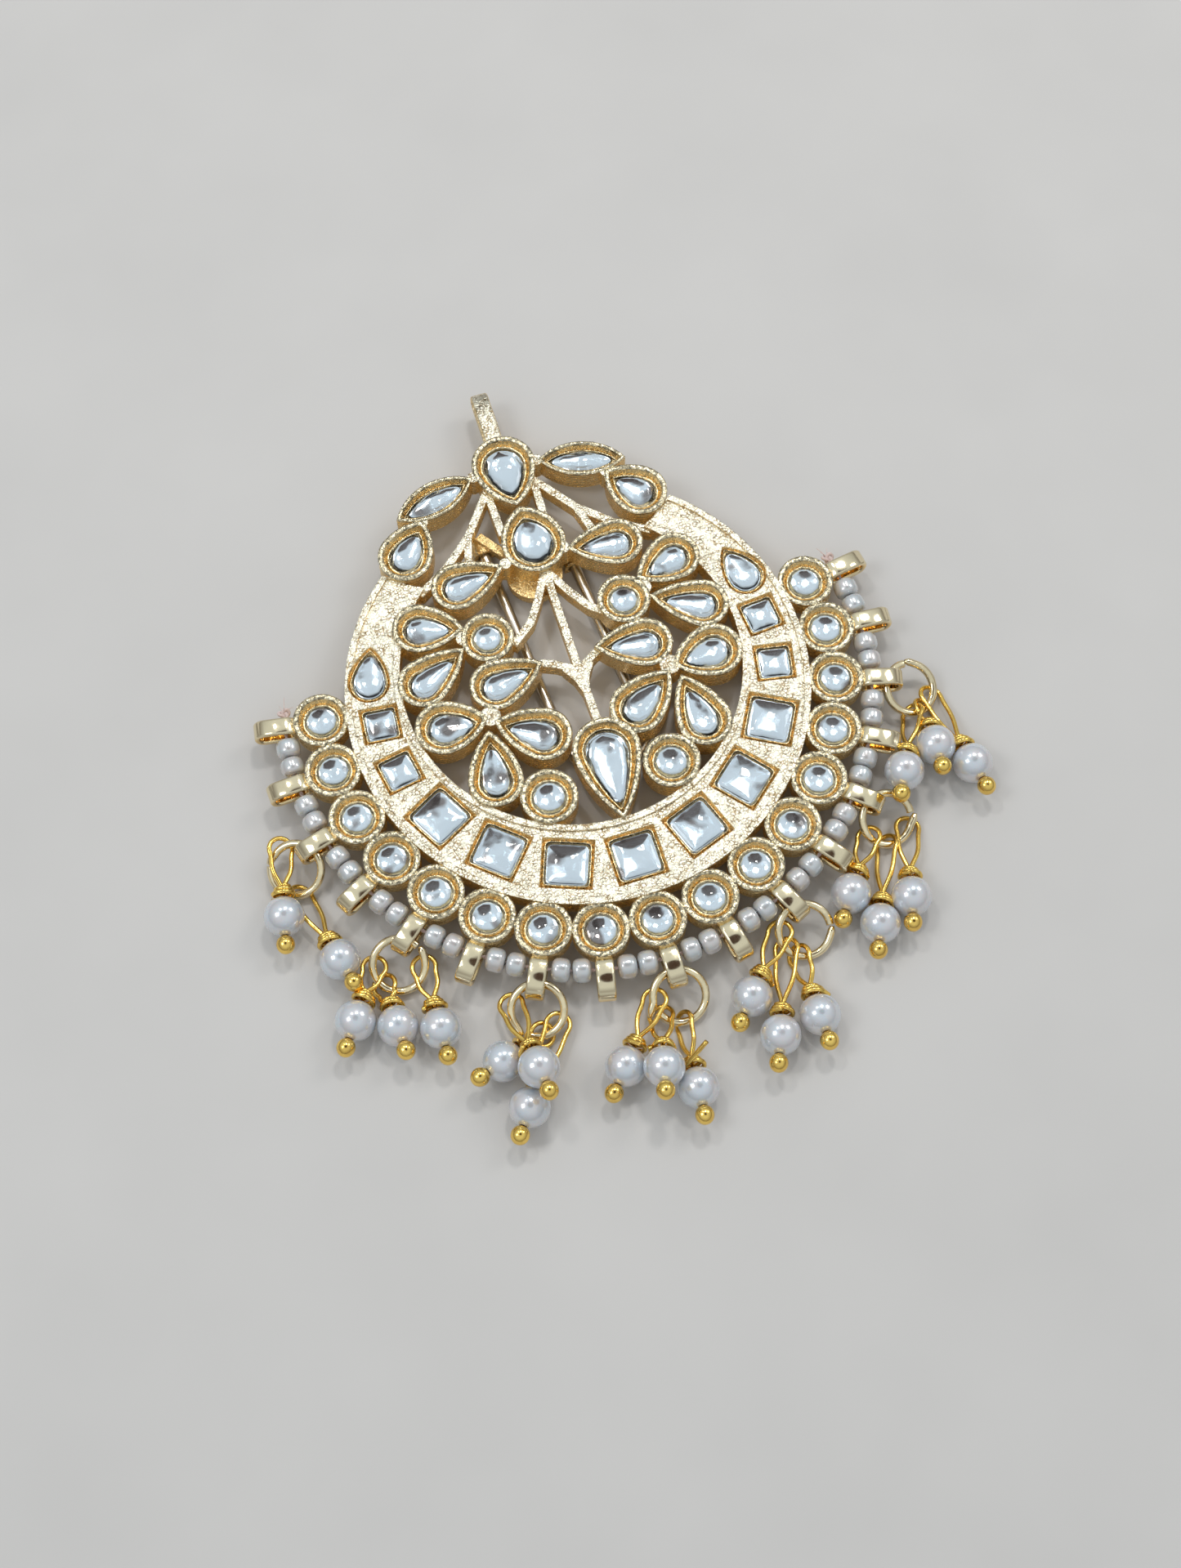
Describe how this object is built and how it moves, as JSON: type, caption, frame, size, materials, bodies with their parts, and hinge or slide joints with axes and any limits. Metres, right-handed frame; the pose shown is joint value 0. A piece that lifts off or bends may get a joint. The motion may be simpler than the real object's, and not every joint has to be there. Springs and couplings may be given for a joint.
{
  "type": "hair bun brooch",
  "caption": "Crescent hair bun brooch with stone-set flower, leaf and round settings, edge loops, pearl drops on jump rings and a U-shaped hair pin behind.",
  "frame": {"origin": "centre of the crescent band's circle, in the plane on which the brooch lies", "axes": "+Z out of the jewelled face, +Y towards the bail at the top, +X to the right seen from the face"},
  "size_m": [0.0733, 0.0814, 0.0075],
  "materials": {
    "frame_gold": "satin gold plate with a fine sparkling grain",
    "ring_gold": "polished pale gold plate",
    "pin_gold": "polished deep yellow gold plate",
    "pin_steel": "drawn wire",
    "thread": "soft twisted thread",
    "seed_bead": "pearly seed beads",
    "pearl": "pearl lustre",
    "clear_stone": "cut, foil backed, polished"
  },
  "bodies": {
    "root": {"frame": "frame_gold", "hair_pin": "pin_steel", "bead_thread": "thread", "edge_beads": "seed_bead", "jump_ring_1": "ring_gold", "jump_ring_2": "ring_gold", "jump_ring_3": "ring_gold", "jump_ring_4": "ring_gold", "jump_ring_5": "ring_gold", "jump_ring_6": "ring_gold", "jump_ring_7": "ring_gold", "pearl_01": "pearl", "pearl_02": "pearl", "pearl_03": "pearl", "pearl_04": "pearl", "pearl_05": "pearl", "pearl_06": "pearl", "pearl_07": "pearl", "pearl_08": "pearl", "pearl_09": "pearl", "pearl_10": "pearl", "pearl_11": "pearl", "pearl_12": "pearl", "pearl_13": "pearl", "pearl_14": "pearl", "pearl_15": "pearl", "pearl_16": "pearl", "pearl_17": "pearl", "pearl_18": "pearl", "pearl_19": "pearl", "pearl_20": "pearl", "head_pins_1": "pin_gold", "head_pins_2": "pin_gold", "head_pins_3": "pin_gold", "head_pins_4": "pin_gold", "head_pins_5": "pin_gold", "head_pins_6": "pin_gold", "head_pins_7": "pin_gold", "square_stone_01": "clear_stone", "square_stone_02": "clear_stone", "square_stone_03": "clear_stone", "square_stone_04": "clear_stone", "square_stone_05": "clear_stone", "square_stone_06": "clear_stone", "square_stone_07": "clear_stone", "square_stone_08": "clear_stone", "square_stone_09": "clear_stone", "square_stone_10": "clear_stone", "square_stone_11": "clear_stone", "top_pear_stone": "clear_stone", "second_pear_stone": "clear_stone", "centre_pear_stone": "clear_stone", "band_pear_stones": "clear_stone", "shoulder_stones": "clear_stone", "leaf_stones": "clear_stone", "petal_stones": "clear_stone", "inner_round_stones": "clear_stone", "outer_round_stones": "clear_stone"}
  },
  "joints": []
}
